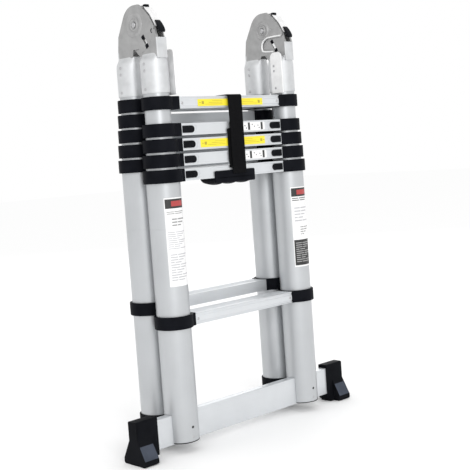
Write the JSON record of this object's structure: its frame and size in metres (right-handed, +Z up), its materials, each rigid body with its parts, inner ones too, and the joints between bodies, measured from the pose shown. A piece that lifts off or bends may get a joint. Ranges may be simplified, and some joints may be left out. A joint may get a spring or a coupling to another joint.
{
  "type": "telescoping ladder",
  "caption": "Telescoping A-frame ladder, folded and collapsed: nested round stiles, button-release rungs, top hinges with lock levers, a stabiliser beam and a carry strap.",
  "frame": {"origin": "middle of the footprint, on the floor, with the ladder folded and collapsed", "axes": "+Z up, -Y towards the front, where the stabiliser beam and the carry strap are, +X along the rungs, to the right of someone who faces the front"},
  "size_m": [0.61, 0.1546, 0.8925],
  "materials": {
    "aluminium": "satin anodised",
    "steel": "pressed and plated, dull",
    "plastic": "fine texture",
    "rubber": "matt",
    "webbing": "woven"
  },
  "bodies": {
    "front_section_1": {"front_tube_1_left": "aluminium", "front_tube_1_right": "aluminium", "front_rung_1": "aluminium", "front_rung_0": "aluminium", "stabiliser_beam": "aluminium", "beam_foot_left": "rubber", "beam_foot_right": "rubber"},
    "front_section_2": {"front_tube_2_left": "aluminium", "front_tube_2_right": "aluminium", "front_rung_2": "aluminium"},
    "front_section_3": {"front_tube_3_left": "aluminium", "front_tube_3_right": "aluminium", "front_rung_3": "aluminium"},
    "front_section_4": {"front_tube_4_left": "aluminium", "front_tube_4_right": "aluminium", "front_rung_4": "aluminium"},
    "front_section_5": {"front_tube_5_left": "aluminium", "front_tube_5_right": "aluminium", "front_rung_5": "aluminium", "front_hinge_bracket_left": "steel", "front_hinge_bracket_right": "steel", "carry_strap": "webbing"},
    "rear_section_1": {"rear_tube_1_left": "aluminium", "rear_tube_1_right": "aluminium", "rear_rung_1": "aluminium", "rear_rung_0": "aluminium", "rear_foot_cap_left": "rubber", "rear_foot_cap_right": "rubber"},
    "rear_section_2": {"rear_tube_2_left": "aluminium", "rear_tube_2_right": "aluminium", "rear_rung_2": "aluminium"},
    "rear_section_3": {"rear_tube_3_left": "aluminium", "rear_tube_3_right": "aluminium", "rear_rung_3": "aluminium"},
    "rear_section_4": {"rear_tube_4_left": "aluminium", "rear_tube_4_right": "aluminium", "rear_rung_4": "aluminium"},
    "rear_section_5": {"rear_tube_5_left": "aluminium", "rear_tube_5_right": "aluminium", "rear_rung_5": "aluminium", "rear_hinge_bracket_left": "steel", "rear_hinge_bracket_right": "steel"},
    "front_button_1_left": {"front_button_1_left": "plastic"},
    "front_button_1_right": {"front_button_1_right": "plastic"},
    "front_button_2_left": {"front_button_2_left": "plastic"},
    "front_button_2_right": {"front_button_2_right": "plastic"},
    "front_button_3_left": {"front_button_3_left": "plastic"},
    "front_button_3_right": {"front_button_3_right": "plastic"},
    "front_button_4_left": {"front_button_4_left": "plastic"},
    "front_button_4_right": {"front_button_4_right": "plastic"},
    "rear_button_1_left": {"rear_button_1_left": "plastic"},
    "rear_button_1_right": {"rear_button_1_right": "plastic"},
    "rear_button_2_left": {"rear_button_2_left": "plastic"},
    "rear_button_2_right": {"rear_button_2_right": "plastic"},
    "rear_button_3_left": {"rear_button_3_left": "plastic"},
    "rear_button_3_right": {"rear_button_3_right": "plastic"},
    "rear_button_4_left": {"rear_button_4_left": "plastic"},
    "rear_button_4_right": {"rear_button_4_right": "plastic"},
    "hinge_lever_left": {"hinge_lever_left": "steel"},
    "hinge_lever_right": {"hinge_lever_right": "steel"}
  },
  "joints": [
    {"name": "front_slide_2", "type": "slide", "parent": "front_section_1", "child": "front_section_2", "axis": [0, 0, 1], "range_m": [0, 0.26]},
    {"name": "front_slide_3", "type": "slide", "parent": "front_section_2", "child": "front_section_3", "axis": [0, 0, 1], "range_m": [0, 0.26]},
    {"name": "front_slide_4", "type": "slide", "parent": "front_section_3", "child": "front_section_4", "axis": [0, 0, 1], "range_m": [0, 0.26]},
    {"name": "front_slide_5", "type": "slide", "parent": "front_section_4", "child": "front_section_5", "axis": [0, 0, 1], "range_m": [0, 0.237]},
    {"name": "main_hinge", "type": "hinge", "parent": "front_section_5", "child": "rear_section_5", "pos_m": [0, 0, 0.854], "axis": [1, 0, 0], "range_deg": [0, 180]},
    {"name": "rear_slide_4", "type": "slide", "parent": "rear_section_5", "child": "rear_section_4", "axis": [0, 0, -1], "range_m": [0, 0.26]},
    {"name": "rear_slide_3", "type": "slide", "parent": "rear_section_4", "child": "rear_section_3", "axis": [0, 0, -1], "range_m": [0, 0.26]},
    {"name": "rear_slide_2", "type": "slide", "parent": "rear_section_3", "child": "rear_section_2", "axis": [0, 0, -1], "range_m": [0, 0.26]},
    {"name": "rear_slide_1", "type": "slide", "parent": "rear_section_2", "child": "rear_section_1", "axis": [0, 0, -1], "range_m": [0, 0.26]},
    {"name": "front_button_1_left_slide", "type": "slide", "parent": "front_section_1", "child": "front_button_1_left", "axis": [1, 0, 0], "range_m": [0, 0.006], "stiffness_N_per_m": 600, "springref_m": -0.004},
    {"name": "front_button_1_right_slide", "type": "slide", "parent": "front_section_1", "child": "front_button_1_right", "axis": [-1, 0, 0], "range_m": [0, 0.006], "stiffness_N_per_m": 600, "springref_m": -0.004},
    {"name": "front_button_2_left_slide", "type": "slide", "parent": "front_section_2", "child": "front_button_2_left", "axis": [1, 0, 0], "range_m": [0, 0.006], "stiffness_N_per_m": 600, "springref_m": -0.004},
    {"name": "front_button_2_right_slide", "type": "slide", "parent": "front_section_2", "child": "front_button_2_right", "axis": [-1, 0, 0], "range_m": [0, 0.006], "stiffness_N_per_m": 600, "springref_m": -0.004},
    {"name": "front_button_3_left_slide", "type": "slide", "parent": "front_section_3", "child": "front_button_3_left", "axis": [1, 0, 0], "range_m": [0, 0.006], "stiffness_N_per_m": 600, "springref_m": -0.004},
    {"name": "front_button_3_right_slide", "type": "slide", "parent": "front_section_3", "child": "front_button_3_right", "axis": [-1, 0, 0], "range_m": [0, 0.006], "stiffness_N_per_m": 600, "springref_m": -0.004},
    {"name": "front_button_4_left_slide", "type": "slide", "parent": "front_section_4", "child": "front_button_4_left", "axis": [1, 0, 0], "range_m": [0, 0.006], "stiffness_N_per_m": 600, "springref_m": -0.004},
    {"name": "front_button_4_right_slide", "type": "slide", "parent": "front_section_4", "child": "front_button_4_right", "axis": [-1, 0, 0], "range_m": [0, 0.006], "stiffness_N_per_m": 600, "springref_m": -0.004},
    {"name": "rear_button_1_left_slide", "type": "slide", "parent": "rear_section_1", "child": "rear_button_1_left", "axis": [1, 0, 0], "range_m": [0, 0.006], "stiffness_N_per_m": 600, "springref_m": -0.004},
    {"name": "rear_button_1_right_slide", "type": "slide", "parent": "rear_section_1", "child": "rear_button_1_right", "axis": [-1, 0, 0], "range_m": [0, 0.006], "stiffness_N_per_m": 600, "springref_m": -0.004},
    {"name": "rear_button_2_left_slide", "type": "slide", "parent": "rear_section_2", "child": "rear_button_2_left", "axis": [1, 0, 0], "range_m": [0, 0.006], "stiffness_N_per_m": 600, "springref_m": -0.004},
    {"name": "rear_button_2_right_slide", "type": "slide", "parent": "rear_section_2", "child": "rear_button_2_right", "axis": [-1, 0, 0], "range_m": [0, 0.006], "stiffness_N_per_m": 600, "springref_m": -0.004},
    {"name": "rear_button_3_left_slide", "type": "slide", "parent": "rear_section_3", "child": "rear_button_3_left", "axis": [1, 0, 0], "range_m": [0, 0.006], "stiffness_N_per_m": 600, "springref_m": -0.004},
    {"name": "rear_button_3_right_slide", "type": "slide", "parent": "rear_section_3", "child": "rear_button_3_right", "axis": [-1, 0, 0], "range_m": [0, 0.006], "stiffness_N_per_m": 600, "springref_m": -0.004},
    {"name": "rear_button_4_left_slide", "type": "slide", "parent": "rear_section_4", "child": "rear_button_4_left", "axis": [1, 0, 0], "range_m": [0, 0.006], "stiffness_N_per_m": 600, "springref_m": -0.004},
    {"name": "rear_button_4_right_slide", "type": "slide", "parent": "rear_section_4", "child": "rear_button_4_right", "axis": [-1, 0, 0], "range_m": [0, 0.006], "stiffness_N_per_m": 600, "springref_m": -0.004},
    {"name": "hinge_lever_left_turn", "type": "hinge", "parent": "front_section_5", "child": "hinge_lever_left", "pos_m": [-0.18, -0.027, 0.864], "axis": [-1, 0, 0], "range_deg": [0, 12], "stiffness_Nm_per_rad": 0.5, "springref_deg": -11.46},
    {"name": "hinge_lever_right_turn", "type": "hinge", "parent": "front_section_5", "child": "hinge_lever_right", "pos_m": [0.18, -0.027, 0.864], "axis": [-1, 0, 0], "range_deg": [0, 12], "stiffness_Nm_per_rad": 0.5, "springref_deg": -11.46}
  ]
}
